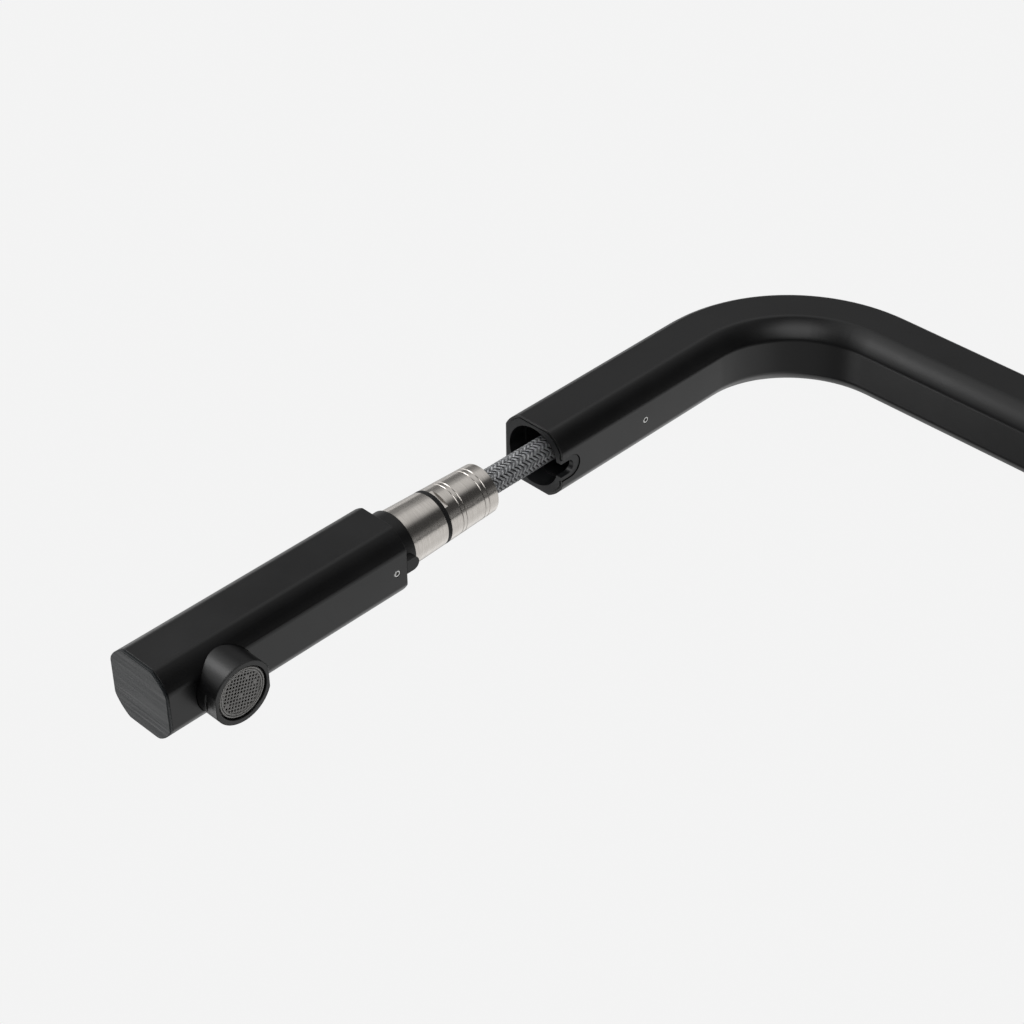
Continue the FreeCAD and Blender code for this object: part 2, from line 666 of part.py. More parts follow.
def make_cartridge():
    housing = [("0", "1.2"), ("cartridge", "1.2"), ("cartridge", "19"), ("10.9", "19"), ("10.9", "2.4"),
               ("0", "2.4")]
    node(turned("cartridge_housing", housing, CARTRIDGE, SIDEWAYS))
    node(ring("cartridge_seal", "10.6", "8", "1.2", CARTRIDGE, SIDEWAYS))
    node(cylinder("fixed_disc", "10.7", "3", from_seat("2.4"), SIDEWAYS))
    node(cylinder("moving_disc", "7.5", "3", from_seat("5.43"), SIDEWAYS))
    node(ring("disc_driver", "7.3", "2.1", "3.55", from_seat("8.45"), SIDEWAYS))
    node(ring("cartridge_nut", "cartridge + 0.1", "11.2", "2", from_seat("19.05"), SIDEWAYS))
    drum = cylinder("carrier_drum", "10.85", "6.4", from_seat("12.6"), SIDEWAYS)
    slot = box("carrier_slot", ("8", "2 * stem + 0.3", "12.8"),
               ("seat + 12", "-stem - 0.15", "valve_rise - 6.4"))
    pin_hole = cylinder("carrier_pin_hole", "pin", "19", PIN_END, UP_ARM)
    node(cut("stem_carrier", drum, slot, pin_hole))
    node(cylinder("pivot_pin", "pin", "19", PIN_END, UP_ARM))
    centre = ("pivot", "0", "valve_rise")
    hollow = sphere("dome_inside", "dome - dome_wall", centre)
    shell = cut("dome_shell", sphere("dome_outside", "dome", centre), hollow)
    behind = box("dome_back", ("40", "40", "40"), ("boss_end - 40", "-20", "valve_rise - 20"))
    mouth = cylinder("dome_opening", "dome_mouth", "30", centre, SIDEWAYS)
    node(cut("cartridge_cover", shell, behind, mouth))


def from_seat(along):
    return f"seat + {along}", "0", "valve_rise"


PIN_END = ("pivot", "-9.5", "valve_rise")


def make_lever():
    """The stem on the cartridge's pivot, the hub over the dome, and the handle on the hub."""
    ball = sphere("stem_ball", "2", ("ball_at", "0", "valve_rise"))
    rod = turned("stem_rod", [("0", "0"), ("1.2", "0"), ("1.2", "3.4"), ("stem", "3.4"), ("stem", "27.4"),
                              ("0", "27.4")], ("ball_at", "0", "valve_rise"), SIDEWAYS)
    pin_hole = cylinder("stem_pin_hole", "pin + 0.05", "10", ("pivot", "-5", "valve_rise"), UP_ARM)
    node(cut("lever_stem", joined("stem_blank", ball, rod), pin_hole))
    drum = turned("hub_drum", [("0", "0"), ("hub", "0"), ("hub", "hub_end - hub_start - 1"),
                               ("hub - 1", "hub_end - hub_start"), ("0", "hub_end - hub_start")],
                  ("hub_start", "0", "valve_rise"), SIDEWAYS)
    hollow = sphere("hub_hollow_ball", "hub_hollow", ("pivot", "0", "valve_rise"))
    socket = cylinder("hub_stem_hole", "stem + 0.05", "6", ("54.5", "0", "valve_rise"), SIDEWAYS)
    screw_hole = cylinder("hub_screw_hole", "2.05", "hub", ("58.5", "0", "valve_rise - hub"))
    node(cut("lever_hub", drum, hollow, socket, screw_hole))
    node(set_screw("lever_screw", "2", "6", ("58.5", "0", "valve_rise - stem - 6"), UPRIGHT, "2"))
    node(cylinder("lever_plug", "2", "3", ("58.5", "0", "valve_rise - hub + 0.3")))
    foot = ("lever_at", "0", "valve_rise + 10")
    blade = bar("handle_bar", "lever_half", "lever_corner", "lever_top - 10", foot)
    saddle = cylinder("handle_saddle", "hub", "40", ("pivot", "0", "valve_rise"), SIDEWAYS)
    node(cut("lever_handle", blade, saddle))


def make_connector():
    rear = "-reach - connector_rear"
    node(make_connector_body())
    node(ring("connector_ring", "sleeve_middle + 0.03", "stub + 0.2", "ring_width",
              ("0", f"{rear} - nut_length", "arm_rise"), ALONG_ARM))
    node(make_connector_nut())
    node(ring("hose_ferrule", "ferrule", "3", "10.6", ("0", f"{rear} - 4", "arm_rise"), ALONG_ARM))
    node(ring("check_valve", "5.9", "2.5", "13", ("0", f"{rear} - 36", "arm_rise"), ALONG_ARM))
    inlet_end = ("0", "-reach - pulled + 0.1", "arm_rise")
    node(ring("head_waterway", "port", "3", "nozzle_at - 8", inlet_end, ALONG_ARM))


def check(thing):
    failed = [o.Label for o in doc.Objects if {"Invalid", "Error"} & set(o.State)]
    if failed:
        raise RuntimeError(f"failed objects: {failed}")
    shape = thing.Shape
    if shape.isNull() or not shape.isValid() or not shape.Solids:
        raise RuntimeError(f"{thing.Label} has no valid solid")
    if len(shape.Solids) != 1:
        raise RuntimeError(f"{thing.Label} has {len(shape.Solids)} solids")


node(make_spout())
node(make_docking_liner())
node(set_screw("arm_set_screw", "screw", "screw_length", ("0", "arm_screw_at - reach", "arm_rise - flat")))
node(make_head_shell())
node(make_head_end_cap())
node(make_dock_collar())
node(set_screw("head_set_screw", "screw", "screw_length",
               ("0", "-reach - pulled - head_screw_at", "arm_rise - flat")))
node(make_nozzle_housing())
make_aerator()
make_connector()
make_hose()
node(make_hose_coil())
node(make_hose_tie())
node(make_hose_end_connector())
make_outlet_tube()
node(make_base_body())
make_base()
make_swivel()
make_cartridge()
make_lever()

doc.recompute()
os.makedirs("parts", exist_ok=True)
for part in nodes:
    check(part)
    part.Shape.exportStep(f"parts/{part.Label}.step")
    bounds = part.Shape.BoundBox
    print(f"{part.Label}: {part.Shape.Volume:.0f} mm3, x {bounds.XMin:.1f} {bounds.XMax:.1f},"
          f" y {bounds.YMin:.1f} {bounds.YMax:.1f}, z {bounds.ZMin:.1f} {bounds.ZMax:.1f}")
print(len(nodes), "sub-parts")
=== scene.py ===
"""Looks for the pull-out kitchen faucet: materials, braided hose, aerator grid, light and camera."""

import math

import bmesh
import bpy
import numpy as np
from mathutils import Matrix, Vector


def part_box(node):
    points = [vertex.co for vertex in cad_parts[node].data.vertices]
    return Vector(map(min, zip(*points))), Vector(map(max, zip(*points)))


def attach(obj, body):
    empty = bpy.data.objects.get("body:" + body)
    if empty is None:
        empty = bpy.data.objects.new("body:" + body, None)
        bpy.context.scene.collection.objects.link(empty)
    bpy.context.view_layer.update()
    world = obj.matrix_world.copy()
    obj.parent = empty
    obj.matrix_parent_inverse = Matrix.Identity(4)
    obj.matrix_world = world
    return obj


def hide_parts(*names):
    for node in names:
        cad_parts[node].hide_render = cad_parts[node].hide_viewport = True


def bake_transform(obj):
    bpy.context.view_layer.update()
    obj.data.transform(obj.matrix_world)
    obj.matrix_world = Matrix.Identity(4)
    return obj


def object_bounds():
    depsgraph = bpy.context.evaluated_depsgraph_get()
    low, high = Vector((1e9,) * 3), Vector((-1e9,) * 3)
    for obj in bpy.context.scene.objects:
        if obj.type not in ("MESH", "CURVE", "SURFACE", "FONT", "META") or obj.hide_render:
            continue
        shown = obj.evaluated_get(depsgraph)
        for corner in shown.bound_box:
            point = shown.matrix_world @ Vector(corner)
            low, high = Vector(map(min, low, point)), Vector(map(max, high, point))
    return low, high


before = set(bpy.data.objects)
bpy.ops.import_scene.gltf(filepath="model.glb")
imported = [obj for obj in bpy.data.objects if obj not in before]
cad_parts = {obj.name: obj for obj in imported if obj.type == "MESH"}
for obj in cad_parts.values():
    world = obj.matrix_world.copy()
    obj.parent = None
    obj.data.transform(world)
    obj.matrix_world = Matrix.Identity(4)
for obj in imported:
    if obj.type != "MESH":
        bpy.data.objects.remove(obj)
CAD_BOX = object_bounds()

MM = 0.001
SHELL_LOW, SHELL_HIGH = (Vector(corner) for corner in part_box("head_shell"))
AXIS_Z = (SHELL_LOW.z + SHELL_HIGH.z) / 2  # centreline of the arm and the head
MOUTH_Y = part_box("spout")[0][1]
NOZZLE_LOW, NOZZLE_HIGH = (Vector(corner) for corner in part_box("nozzle_housing"))
NOZZLE_AT = Vector((0, (NOZZLE_LOW.y + NOZZLE_HIGH.y) / 2, NOZZLE_LOW.z))

CAMERA_AT = Vector((0.5250, -0.6658, -0.2042))
CAMERA_FORWARD = Vector((-0.6064, 0.5640, 0.5605))
CAMERA_UP = Vector((0.7951, 0.4368, 0.4207))
CAMERA_LENS = 82.6
SENSOR_WIDTH = 36.0
FLOOR_GAP = 4 * MM
FLOOR_SIZE = 40
FLOOR_GLOW = 0.38

SURROUND = 0.06  # strength of the light from all round
BACKGROUND = 0.90  # what the camera sees behind the object
GLOWS = (  # glows of the surround: towards, angle of its even middle, angle of its edge, strength
    ((-0.61, 0.55, -0.56), 28, 58, 0.80),
    ((-0.61, 0.56, 0.56), 20, 55, 0.45),
    ((0.82, 0.56, 0.06), 3, 32, 0.72),
    ((0.68, -0.25, 0.68), 15, 46, 1.00),
    ((0.61, 0.56, 0.56), 5, 40, 0.10),
    ((-0.61, -0.56, 0.56), 10, 50, 0.05),
    ((-0.61, -0.56, -0.56), 15, 45, 0.40),
    ((0.77, -0.42, -0.43), 8, 26, 2.4),
)
CARDS = (  # square area lights: name, place, aimed at, width, watts
    ("end_card", (-0.24, -0.54, 0.51), (0, -0.32, 0.29), 0.24, 0.32),
    ("bend_card", (0.55, -0.45, 0.75), (0, 0, 0.28), 0.28, 1.0),
    ("arm_card", (0.34, 0.24, 0.60), (0, -0.06, 0.3), 0.25, 0.035),
    ("top", (0.1, -0.1, 1.8), (0, 0, 0), 1.6, 4.5),
)

# hose
HOSE_RADIUS = 5.3 * MM
CORE_RADIUS = 4.6 * MM
CARRIERS = 16  # strands that wind each way, each a light and a darker yarn side by side
LIGHT_YARN = (0.41 * MM, -0.26 * MM)  # half its width, and its middle from the strand's middle
DARKER_YARN = (0.26 * MM, 0.41 * MM)
YARN_THICK = 0.26 * MM  # half of a yarn's thickness
STRAND_RISE = 0.22 * MM  # how far a strand goes over and under
FLOAT_SWELL = 0.18  # how much wider a strand is on top, and narrower below
STRAND_MIDDLE = HOSE_RADIUS - YARN_THICK - STRAND_RISE
BRAID_ANGLE = math.radians(44)

# the aerator, whose heights count inwards from its rim
AERATOR_RECESS = 0.4 * MM
GRID_PITCH = 1.36 * MM
GRID_RADIUS = 8.1 * MM
GRID_TUCK = 0.1 * MM  # how far the bars run into the rim
GRID_TURN = math.radians(108)
BAR_WIDTH = 0.5 * MM
BAR_DEPTH = 0.32 * MM
BAR_MIDDLE = 0.58 * MM
CROSSING_STEP = 0.015 * MM  # between the bars that run one way and the other
POST_WIDTH = 1.1 * MM
POST_DEPTH = 0.56 * MM
POST_MIDDLE = 0.66 * MM
POSTS = ((0, 1), (-4, 3), (4, -2), (1, -4))  # places where a hole is filled, counted in pitches
GRID_EDGE = 0.05 * MM

# edge rounding of the painted shells
CREASE_FROM, CREASE_TO = 20, 36  # degrees between the faces beside a crease; a rim has more
CREASE = 0.8 * MM

# the free hose under the worktop: points of its route, as in the part's own source
DROP = [(0, -6.3, -54), (-4, -10, -104), (-10.5, -20, -154)]
RISE = [(11, 41.5, -160), (8, 38, -120)]
COIL_CENTRE = (10, -200)  # y and z
COIL_RADIUS = 53.0
COIL_HALF = 14.1  # half the distance between the outer turns' middles
COIL_FROM, COIL_TO = 152.0, 1108.0  # degrees
COIL_POINTS = 16  # in a turn


# Materials


def set_inputs(node, values):
    """Sets a node's inputs, named with underscores for spaces."""
    for name, value in values.items():
        node.inputs[name.replace("_", " ")].default_value = value


class Finish:
    """A material with its node tree, made piece by piece."""

    def __init__(self, name, **values):
        self.material = bpy.data.materials.new(name)
        self.material.use_nodes = True
        self.tree = self.material.node_tree
        self.bsdf = self.tree.nodes["Principled BSDF"]
        self.place = self.node("ShaderNodeTexCoord").outputs["Object"]
        set_inputs(self.bsdf, values)

    def node(self, kind, **inputs):
        made = self.tree.nodes.new(kind)
        set_inputs(made, inputs)
        return made

    def link(self, source, target):
        self.tree.links.new(source, target)

    def stretched(self, scale):
        mapping = self.node("ShaderNodeMapping", Scale=scale)
        self.link(self.place, mapping.inputs["Vector"])
        return mapping.outputs["Vector"]

    def noise(self, scale, detail=3.0, roughness=0.55):
        """Noise whose scale may differ along x, y and z, in features per metre."""
        texture = self.node("ShaderNodeTexNoise", Scale=1.0, Detail=detail, Roughness=roughness)
        self.link(self.stretched(scale), texture.inputs["Vector"])
        return texture.outputs["Fac"]

    def spread(self, fac, low, high, start=0.3, end=0.7):
        """Maps the middle of a noise's range to low..high."""
        ranged = self.node("ShaderNodeMapRange", From_Min=start, From_Max=end, To_Min=low, To_Max=high)
        self.link(fac, ranged.inputs["Value"])
        return ranged.outputs["Result"]

    def tint(self, fac, dark, light):
        """Colours the piece from dark to light over the middle of a noise's range."""
        ramp = self.tree.nodes.new("ShaderNodeValToRGB")
        ramp.color_ramp.elements[0].position = 0.3
        ramp.color_ramp.elements[1].position = 0.7
        ramp.color_ramp.elements[0].color = (*dark, 1)
        ramp.color_ramp.elements[1].color = (*light, 1)
        self.link(fac, ramp.inputs["Fac"])
        self.link(ramp.outputs["Color"], self.bsdf.inputs["Base Color"])

    def bump(self, height, distance, strength=1.0):
        made = self.node("ShaderNodeBump", Strength=strength, Distance=distance)
        self.link(height, made.inputs["Height"])
        self.link(made.outputs["Normal"], self.bsdf.inputs["Normal"])

    def rough(self, fac, low, high):
        self.link(self.spread(fac, low, high), self.bsdf.inputs["Roughness"])


def satin_black(name, dark=0.0075, light=0.0105, low=0.30, high=0.40, grain=0.004):
    """Fine-grained black coating on metal."""
    made = Finish(name, Specular_IOR_Level=0.45)
    fine = made.noise((4200, 4200, 4200), 2.0)
    cloudy = made.noise((35, 35, 35), 4.0)
    made.tint(cloudy, (dark, dark, dark * 1.04), (light, light, light * 1.06))
    made.rough(cloudy, low, high)
    made.bump(fine, grain * MM)
    return made.material


def brushed_black(name, scale, dark, light):
    """Black coated metal with fine straight brush lines, which scale stretches."""
    made = Finish(name, Specular_IOR_Level=0.3)
    lines = made.noise(scale, 2.0, 0.6)
    made.tint(lines, dark, light)
    made.rough(lines, 0.42, 0.58)
    made.bump(lines, 0.008 * MM)
    return made.material


def turned_steel(name, dark, light, low=0.22, high=0.34, axis="Y", scale=(160, 3600, 160)):
    """Steel or brass brushed round its axis."""
    made = Finish(name, Metallic=1.0, Anisotropic=0.6, Anisotropic_Rotation=0.25)
    lines = made.noise(scale, 5.0, 0.75)
    cloudy = made.noise((120, 120, 120), 3.0)
    made.tint(lines, dark, light)
    made.rough(cloudy, low, high)
    made.bump(lines, 0.0025 * MM)
    tangent = made.tree.nodes.new("ShaderNodeTangent")
    tangent.direction_type = "RADIAL"
    tangent.axis = axis
    made.link(tangent.outputs["Tangent"], made.bsdf.inputs["Tangent"])
    return made.material


def plastic(name, dark, light, low=0.42, high=0.58, grain=0.006, specular=0.4):
    """Moulded plastic or rubber with a spark-eroded grain."""
    made = Finish(name, Specular_IOR_Level=specular)
    fine = made.noise((2600, 2600, 2600), 3.0)
    cloudy = made.noise((60, 60, 60), 3.0)
    made.tint(cloudy, dark, light)
    made.rough(cloudy, low, high)
    made.bump(fine, grain * MM)
    return made.material


def filament(name, dark, light):
    """Bundled yarn, with its filaments running along the strand."""
    made = Finish(name, Specular_IOR_Level=0.5, Sheen_Weight=0.15)
    across = made.node("ShaderNodeTexWave", Scale=1.6, Distortion=0.6)
    across.wave_type = "BANDS"
    across.bands_direction = "X"
    mapping = made.node("ShaderNodeMapping", Scale=(4.0, 0.0, 1.0))
    made.link(made.node("ShaderNodeTexCoord").outputs["UV"], mapping.inputs["Vector"])
    made.link(mapping.outputs["Vector"], across.inputs["Vector"])
    yarn = made.noise((700, 700, 700), 3.0)
    made.tint(yarn, dark, light)
    made.rough(yarn, 0.38, 0.55)
    made.bump(across.outputs["Fac"], 0.03 * MM, 0.8)
    return made.material


# Braided hose


def resampled(points, step):
    """Points along the line at an even spacing, with a frame at each that doesn't twist."""
    points = np.array(points, float)
    lengths = np.r_[0, np.cumsum(np.linalg.norm(np.diff(points, axis=0), axis=1))]
    count = max(2, int(lengths[-1] / step) + 1)
    along = np.linspace(0, lengths[-1], count)
    line = np.stack([np.interp(along, lengths, points[:, i]) for i in range(3)], axis=1)
    tangents = np.gradient(line, axis=0)
    tangents /= np.linalg.norm(tangents, axis=1)[:, None]
    side = np.cross(tangents[0], (0.3, 0.1, 0.9) if abs(tangents[0][0]) < 0.9 else (0, 0, 1))
    sides = []
    for tangent in tangents:
        side = side - tangent * np.dot(side, tangent)
        side /= np.linalg.norm(side)
        sides.append(side)
    sides = np.array(sides)
    return along, line, tangents, sides, np.cross(tangents, sides)


def yarns(name, path, yarn, ways, finish, per_crossing=4, corners=6):
    """One yarn of every strand that winds these ways in a two-over, two-under braid, as one mesh."""
    half, shift = yarn
    turn_per_metre = math.tan(BRAID_ANGLE) / STRAND_MIDDLE
    crossing = math.pi / (CARRIERS * turn_per_metre)
    along, line, tangents, sides, ups = resampled(path, crossing / per_crossing)
    count = len(along)
    ring = np.linspace(0, math.tau, corners, endpoint=False)
    verts, faces = [], []
    for way in ways:
        for number in range(CARRIERS):
            angle = number * math.tau / CARRIERS + way * turn_per_metre * along
            crossings = 2 * number + way * along / crossing
            wave = np.clip(1.5 * np.cos((crossings - 0.5) * math.pi / 2), -1, 1)
            out = sides * np.cos(angle)[:, None] + ups * np.sin(angle)[:, None]
            round_way = ups * np.cos(angle)[:, None] - sides * np.sin(angle)[:, None]
            forward = tangents * math.cos(BRAID_ANGLE) + way * round_way * math.sin(BRAID_ANGLE)
            across = np.cross(forward, out)
            spread = (1 + way * FLOAT_SWELL * wave)[:, None]
            height = (STRAND_MIDDLE + way * STRAND_RISE * wave)[:, None]
            middle = line + out * height + across * shift * spread
            loop = [middle + across * spread * half * math.cos(a) + out * YARN_THICK * math.sin(a)
                    for a in ring]
            rows = (len(verts) * count + np.arange(count - 1))[:, None] * corners
            verts.append(np.stack(loop, axis=1).reshape(-1, 3))
            here = rows + np.arange(corners)
            after = rows + (np.arange(corners) + 1) % corners
            faces.append(np.stack([here, after, after + corners, here + corners], axis=-1).reshape(-1, 4))
    verts, faces = np.concatenate(verts), np.concatenate(faces)
    mesh = bpy.data.meshes.new(name)
    mesh.from_pydata(verts.tolist(), [], faces.tolist())
    mesh.polygons.foreach_set("use_smooth", [True] * len(mesh.polygons))
    layer = mesh.uv_layers.new(name="across")
    places = np.zeros((faces.size, 2))
    places[:, 0] = np.cos(ring)[(faces % corners).reshape(-1)] * 0.5 + 0.5
    layer.data.foreach_set("uv", places.reshape(-1))
    mesh.materials.append(finish)
    piece = bpy.data.objects.new(name, mesh)
    bpy.context.collection.objects.link(piece)
    return piece


def braided(prefix, path, per_crossing=4, corners=6):
    """The braid: a light yarn in every strand, beside a dark one in one way's and a grey in the other's."""
    return [
        yarns(f"{prefix}_light", path, LIGHT_YARN, (1, -1), YARN_LIGHT, per_crossing, corners),
        yarns(f"{prefix}_dark", path, DARKER_YARN, (1,), YARN_DARK, per_crossing, corners),
        yarns(f"{prefix}_middle", path, DARKER_YARN, (-1,), YARN_MIDDLE, per_crossing, corners),
    ]


def tube_mesh(name, path, radius, finish, step=1.0 * MM, corners=32):
    """A plain closed tube along the path."""
    _, line, _, sides, ups = resampled(path, step)
    ring = np.linspace(0, math.tau, corners, endpoint=False)
    rows = [[p + radius * (s * math.cos(a) + u * math.sin(a)) for a in ring]
            for p, s, u in zip(line, sides, ups, strict=True)]
    verts = [tuple(v) for row in rows for v in row]
    faces = []
    for i in range(len(rows) - 1):
        for j in range(corners):
            k = (j + 1) % corners
            faces.append((i * corners + j, i * corners + k, (i + 1) * corners + k, (i + 1) * corners + j))
    last = (len(rows) - 1) * corners
    faces += [tuple(reversed(range(corners))), tuple(range(last, last + corners))]
    mesh = bpy.data.meshes.new(name)
    mesh.from_pydata(verts, [], faces)
    mesh.polygons.foreach_set("use_smooth", [len(p.vertices) == 4 for p in mesh.polygons])
    mesh.materials.append(finish)
    piece = bpy.data.objects.new(name, mesh)
    bpy.context.collection.objects.link(piece)
    return piece


# Camera, light and floor


def make_camera():
    """The camera below and in front of the arm, rolled so that the arm runs down to the left."""
    data = bpy.data.cameras.new("camera")
    data.lens = CAMERA_LENS
    data.sensor_width = SENSOR_WIDTH
    data.clip_start = 0.01
    data.clip_end = 20
    data.dof.use_dof = False
    camera = bpy.data.objects.new("camera", data)
    right = CAMERA_FORWARD.cross(CAMERA_UP).normalized()
    up = right.cross(CAMERA_FORWARD).normalized()
    turn = Matrix((right, up, -CAMERA_FORWARD.normalized())).transposed()
    camera.matrix_world = Matrix.Translation(CAMERA_AT) @ turn.to_4x4()
    bpy.context.collection.objects.link(camera)
    bpy.context.scene.camera = camera


def make_card(name, at, target, width, watts):
    """A square area light that the camera doesn't see."""
    data = bpy.data.lights.new(name, "AREA")
    data.shape = "SQUARE"
    data.size = width
    data.energy = watts
    lamp = bpy.data.objects.new(name, data)
    lamp.location = at
    lamp.rotation_euler = (Vector(target) - Vector(at)).to_track_quat("-Z", "Y").to_euler()
    lamp.visible_camera = False
    bpy.context.collection.objects.link(lamp)


def make_world():
    """A pale surround, brighter towards some sides, so that glossy faces have something to show."""
    world = bpy.data.worlds.new("studio")
    world.use_nodes = True
    tree = world.node_tree
    direction = tree.nodes.new("ShaderNodeTexCoord").outputs["Generated"]
    total = None
    for toward, inner, outer, value in GLOWS:
        dot = tree.nodes.new("ShaderNodeVectorMath")
        dot.operation = "DOT_PRODUCT"
        dot.inputs[1].default_value = Vector(toward).normalized()
        tree.links.new(direction, dot.inputs[0])
        fade = tree.nodes.new("ShaderNodeMapRange")
        fade.interpolation_type = "SMOOTHSTEP"
        fade.inputs["From Min"].default_value = math.cos(math.radians(outer))
        fade.inputs["From Max"].default_value = math.cos(math.radians(inner))
        fade.inputs["To Max"].default_value = value
        tree.links.new(dot.outputs["Value"], fade.inputs["Value"])
        add = tree.nodes.new("ShaderNodeMath")
        tree.links.new(fade.outputs["Result"], add.inputs[0])
        if total is None:
            add.inputs[1].default_value = SURROUND
        else:
            tree.links.new(total, add.inputs[1])
        total = add.outputs["Value"]
    rays = tree.nodes.new("ShaderNodeLightPath")
    seen = tree.nodes.new("ShaderNodeMix")
    seen.inputs["B"].default_value = BACKGROUND
    tree.links.new(rays.outputs["Is Camera Ray"], seen.inputs["Factor"])
    tree.links.new(total, seen.inputs["A"])
    background = tree.nodes["Background"]
    background.inputs["Color"].default_value = (1.0, 1.0, 1.0, 1)
    tree.links.new(seen.outputs["Result"], background.inputs["Strength"])
    bpy.context.scene.world = world
    bpy.context.scene.view_settings.view_transform = "Standard"


def make_floor():
    """A pale floor just under the hose's coil, faintly glowing so that it meets the background."""
    bpy.ops.mesh.primitive_plane_add(size=FLOOR_SIZE, location=(0, 0, CAD_BOX[0][2] - FLOOR_GAP))
    floor = bpy.context.object
    floor.name = "floor"
    made = Finish("floor", Roughness=0.9, Specular_IOR_Level=0.1, Emission_Strength=FLOOR_GLOW,
                  Emission_Color=(1, 1, 1, 1))
    made.tint(made.noise((3, 3, 3)), (0.80, 0.80, 0.81), (0.82, 0.82, 0.83))
    floor.data.materials.append(made.material)
    floor.visible_glossy = False
    floor.visible_diffuse = False


# Pieces


def dress(names, finish):
    """Gives CAD nodes that stay a finished material."""
    for name in names:
        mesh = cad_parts[name].data
        mesh.materials.clear()
        mesh.materials.append(finish)


make_camera()
make_world()
make_floor()
for card in CARDS:
    make_card(*card)

FINE_UPRIGHT = (300, 300, 9000)  # turning marks on upright pieces, in lines per metre
COATING = satin_black("satin_black_coating")
NOZZLE_COATING = satin_black("satin_black_nozzle", 0.010, 0.014, 0.30, 0.38)
END_FACE = brushed_black("brushed_black_end", (1200, 1200, 25), (0.014, 0.017, 0.019),
                         (0.034, 0.038, 0.041))
COLLAR = plastic("black_collar", (0.006, 0.006, 0.0065), (0.009, 0.009, 0.0095), 0.36, 0.46, 0.004)
LINER = plastic("docking_plastic", (0.016, 0.017, 0.018), (0.022, 0.023, 0.024), 0.40, 0.50)
BLACK_PLASTIC = plastic("black_plastic", (0.010, 0.010, 0.011), (0.016, 0.016, 0.017))
GREY_PLASTIC = plastic("grey_plastic", (0.30, 0.31, 0.32), (0.36, 0.37, 0.38))
AERATOR = plastic("aerator_plastic", (0.30, 0.293, 0.28), (0.36, 0.352, 0.34), 0.3, 0.4, 0.002, 0.5)
RUBBER = plastic("black_rubber", (0.008, 0.008, 0.008), (0.013, 0.013, 0.013), 0.55, 0.7, 0.012, 0.35)
STEEL = turned_steel("brushed_connector_steel", (0.52, 0.49, 0.455), (0.72, 0.685, 0.645), 0.25, 0.29)
PLAIN_STEEL = turned_steel("plain_steel", (0.50, 0.50, 0.49), (0.62, 0.62, 0.61), 0.22, 0.34, "Z",
                           FINE_UPRIGHT)
BRASS = turned_steel("machined_brass", (0.62, 0.42, 0.17), (0.78, 0.56, 0.26), 0.2, 0.32, "Z", FINE_UPRIGHT)
CERAMIC = plastic("ceramic", (0.78, 0.78, 0.75), (0.84, 0.84, 0.81), 0.12, 0.2, 0.0005)
YARN_LIGHT = filament("light_yarn", (0.20, 0.205, 0.215), (0.80, 0.81, 0.83))
YARN_MIDDLE = filament("middle_yarn", (0.07, 0.073, 0.08), (0.34, 0.345, 0.355))
YARN_DARK = filament("dark_yarn", (0.018, 0.019, 0.021), (0.05, 0.052, 0.056))
# the inner tube's own dark tone, made darker still as painted shade in the gaps between the braid's strands
CORE_AND_GAP_SHADE = plastic("hose_core_and_gap_shade", (0.02, 0.02, 0.022), (0.03, 0.03, 0.033))

dress(("spout", "head_shell", "base_body", "base_plate", "cartridge_cover", "lever_hub", "lever_handle"),
      COATING)
dress(("nozzle_housing",), NOZZLE_COATING)
dress(("head_end_cap",), END_FACE)
dress(("dock_collar",), COLLAR)
dress(("docking_liner",), LINER)
dress(("lever_plug", "lower_bush", "upper_bush", "mounting_nut", "stem_carrier", "disc_driver", "hose_tie"),
      BLACK_PLASTIC)
dress(("cartridge_housing", "check_valve", "swivel_washer", "head_waterway"), GREY_PLASTIC)
dress(("connector_ring", "aerator_seal", "base_seal", "deck_gasket", "cartridge_seal"), RUBBER)
dress(("connector_body", "connector_nut"), STEEL)
dress(("arm_set_screw", "head_set_screw", "mounting_washer", "swivel_stop_screw", "lever_screw", "pivot_pin",
       "hose_ferrule", "outlet_tube", "lever_stem"), PLAIN_STEEL)
dress(("swivel_neck", "mounting_shank", "cartridge_nut", "hose_end_connector"), BRASS)
dress(("fixed_disc", "moving_disc"), CERAMIC)
dress(("aerator_insert", "aerator_screen"), AERATOR)
dress(("hose_spout", "hose_base"), YARN_DARK)


def rounded(name, crease=0.0, rim=0.0):
    """Rounds the edges of a CAD node: its creases, and its rims, whose faces meet more sharply."""
    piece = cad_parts[name]
    mesh = piece.data
    places = [tuple(round(x * 1e6) for x in v.co) for v in mesh.vertices]
    normals = {}
    for face in mesh.polygons:
        for a, b in face.edge_keys:
            normals.setdefault(frozenset((places[a], places[b])), []).append(face.normal.copy())
    widest = max(crease, rim)
    weights = np.zeros(len(mesh.edges))
    for i, edge in enumerate(mesh.edges):
        beside = normals.get(frozenset(places[k] for k in edge.vertices), [])
        if len(beside) == 2:
            angle = math.degrees(beside[0].angle(beside[1], 0))
            if CREASE_FROM < angle < CREASE_TO:
                weights[i] = crease / widest
            elif angle >= CREASE_TO:
                weights[i] = rim / widest
    layer = mesh.attributes.new("bevel_weight_edge", "FLOAT", "EDGE")
    layer.data.foreach_set("value", weights.astype(np.float32))
    weld = piece.modifiers.new("weld", "WELD")
    weld.merge_threshold = 2e-6
    merge = piece.modifiers.new("merge", "DECIMATE")
    merge.decimate_type = "DISSOLVE"
    merge.angle_limit = math.radians(0.5)
    bevel = piece.modifiers.new("round", "BEVEL")
    bevel.limit_method = "WEIGHT"
    bevel.width = widest
    bevel.segments = 4
    bevel.use_clamp_overlap = False
    even = piece.modifiers.new("even", "WEIGHTED_NORMAL")
    even.keep_sharp = False
    even.weight = 90


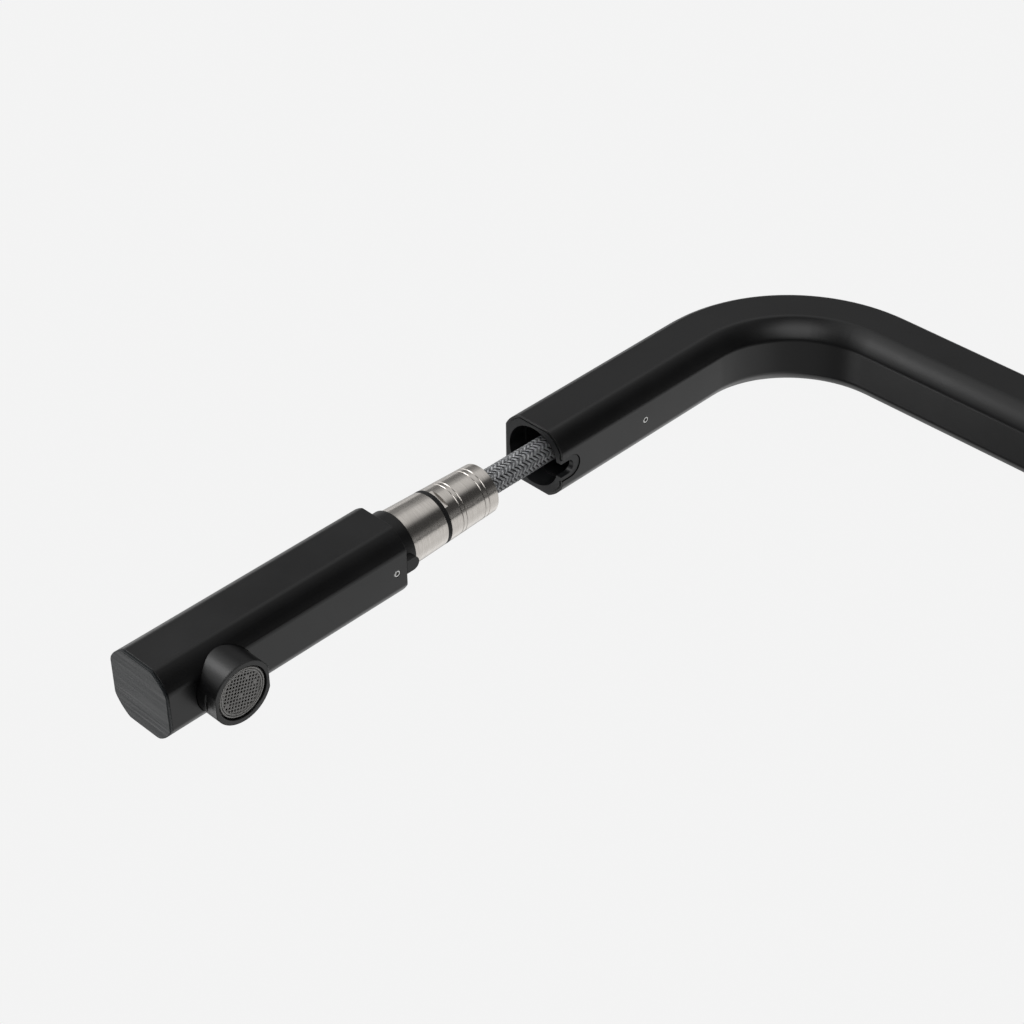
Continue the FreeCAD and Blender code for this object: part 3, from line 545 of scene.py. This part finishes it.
def spun(name, outline, at, finish, corners=96):
    """A lathe mesh round an upright axis, from a closed outline of (radius, height) in millimetres."""
    ring = np.linspace(0, math.tau, corners, endpoint=False)
    verts = [(at.x + r * MM * math.cos(a), at.y + r * MM * math.sin(a), at.z + h * MM)
             for r, h in outline for a in ring]
    count = len(outline)
    faces = []
    for i in range(count):
        for j in range(corners):
            k, after = (j + 1) % corners, (i + 1) % count
            faces.append((i * corners + j, i * corners + k, after * corners + k, after * corners + j))
    mesh = bpy.data.meshes.new(name)
    mesh.from_pydata(verts, [], faces)
    mesh.materials.append(finish)
    work = bmesh.new()
    work.from_mesh(mesh)
    bmesh.ops.recalc_face_normals(work, faces=work.faces)
    work.to_mesh(mesh)
    work.free()
    mesh.polygons.foreach_set("use_smooth", [True] * len(mesh.polygons))
    mesh.set_sharp_from_angle(angle=math.radians(40))
    piece = bpy.data.objects.new(name, mesh)
    bpy.context.collection.objects.link(piece)
    return piece


def make_aerator():
    """The insert's double rim and its square grid, turned in the nozzle."""
    outline = [(9.75, 0.2), (9.65, 0.05), (9.5, 0.0), (9.32, 0.0), (9.18, 0.08), (9.14, 0.9), (8.88, 0.9),
               (8.84, 0.2), (8.72, 0.12), (8.46, 0.12), (8.34, 0.22), (8.3, 0.6), (8.1, 0.6), (8.1, 6.3),
               (10.2, 6.3), (10.2, 2.5), (9.75, 2.5)]
    at = NOZZLE_AT + Vector((0, 0, AERATOR_RECESS))
    rim = spun("aerator_rim", outline, at, AERATOR)
    work = bmesh.new()

    def block(turn, middle, lengths):
        turned = Matrix.Translation(at) @ Matrix.Rotation(turn, 4, "Z")
        placed = turned @ Matrix.Translation(middle) @ Matrix.Diagonal((*lengths, 1))
        bmesh.ops.create_cube(work, matrix=placed)

    beside = int(GRID_RADIUS / GRID_PITCH - 0.5)
    for way in (0, 1):
        for i in range(-beside - 1, beside + 1):
            across = (i + 0.5) * GRID_PITCH
            half = math.sqrt((GRID_RADIUS + GRID_TUCK) ** 2 - across**2)
            block(GRID_TURN + way * math.pi / 2, (0, across, BAR_MIDDLE + way * CROSSING_STEP),
                  (2 * half, BAR_WIDTH, BAR_DEPTH))
    for across, along in POSTS:
        block(GRID_TURN, (across * GRID_PITCH, along * GRID_PITCH, POST_MIDDLE),
              (POST_WIDTH, POST_WIDTH, POST_DEPTH))
    bmesh.ops.bevel(work, geom=work.edges[:], offset=GRID_EDGE, segments=1, affect="EDGES")
    mesh = bpy.data.meshes.new("aerator_grid")
    work.to_mesh(mesh)
    work.free()
    mesh.materials.append(AERATOR)
    grid = bpy.data.objects.new("aerator_grid", mesh)
    bpy.context.collection.objects.link(grid)
    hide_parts("aerator_insert")
    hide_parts("aerator_screen")
    for piece in (rim, grid):
        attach(piece, "spray_head")


def make_sliding_hose():
    """The stretch that the head pulls out of the arm."""
    low, high = (Vector(corner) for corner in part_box("hose_pull"))
    path = [(0, high.y, AXIS_Z), (0, low.y, AXIS_Z)]
    core = tube_mesh("hose_pull_core", path, CORE_RADIUS, CORE_AND_GAP_SHADE)
    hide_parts("hose_pull")
    for piece in [core, *braided("hose_pull_braid", path)]:
        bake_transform(piece)


def spline_points(curve):
    """Points along the curve's own line, in order."""
    mesh = bpy.data.meshes.new_from_object(curve)
    return [tuple(v.co) for v in mesh.vertices]


def coil_points():
    """The put-away turns, side by side."""
    count = round((COIL_TO - COIL_FROM) / 360 * COIL_POINTS)
    radius = COIL_RADIUS / math.cos(math.pi / COIL_POINTS)
    for i in range(count + 1):
        share = i / count
        angle = math.radians(COIL_FROM + (COIL_TO - COIL_FROM) * share)
        yield (COIL_HALF * (2 * share - 1), COIL_CENTRE[0] + radius * math.cos(angle),
               COIL_CENTRE[1] + radius * math.sin(angle))


def make_free_hose():
    """The hose under the worktop, from the shank to the outlet tube."""
    route = [Vector(p) * MM for p in [*DROP, *coil_points(), *RISE]]
    data = bpy.data.curves.new("hose_under_worktop", "CURVE")
    data.dimensions = "3D"
    data.resolution_u = 12
    spline = data.splines.new("NURBS")
    spline.points.add(len(route) - 1)
    for point, at in zip(spline.points, route, strict=True):
        point.co = (*at, 1)
    spline.order_u = 3
    spline.use_endpoint_u = True
    curve = bpy.data.objects.new("hose_under_worktop", data)
    bpy.context.collection.objects.link(curve)
    path = spline_points(curve)
    data.bevel_depth = CORE_RADIUS
    data.bevel_resolution = 6
    data.use_fill_caps = True
    data.materials.append(CORE_AND_GAP_SHADE)
    braid = braided("hose_under_braid", path, 1, 4)
    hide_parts("hose_drop", "hose_coil", "hose_rise")
    for piece in [curve, *braid]:
        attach(piece, "base")


rounded("spout", CREASE, 0.1 * MM)
for shell in ("head_shell", "base_body"):
    rounded(shell, CREASE, 0.25 * MM)
rounded("head_end_cap", CREASE)
rounded("nozzle_housing", rim=0.3 * MM)
rounded("lever_handle", 0.4 * MM, 0.2 * MM)
make_aerator()
make_sliding_hose()
make_free_hose()
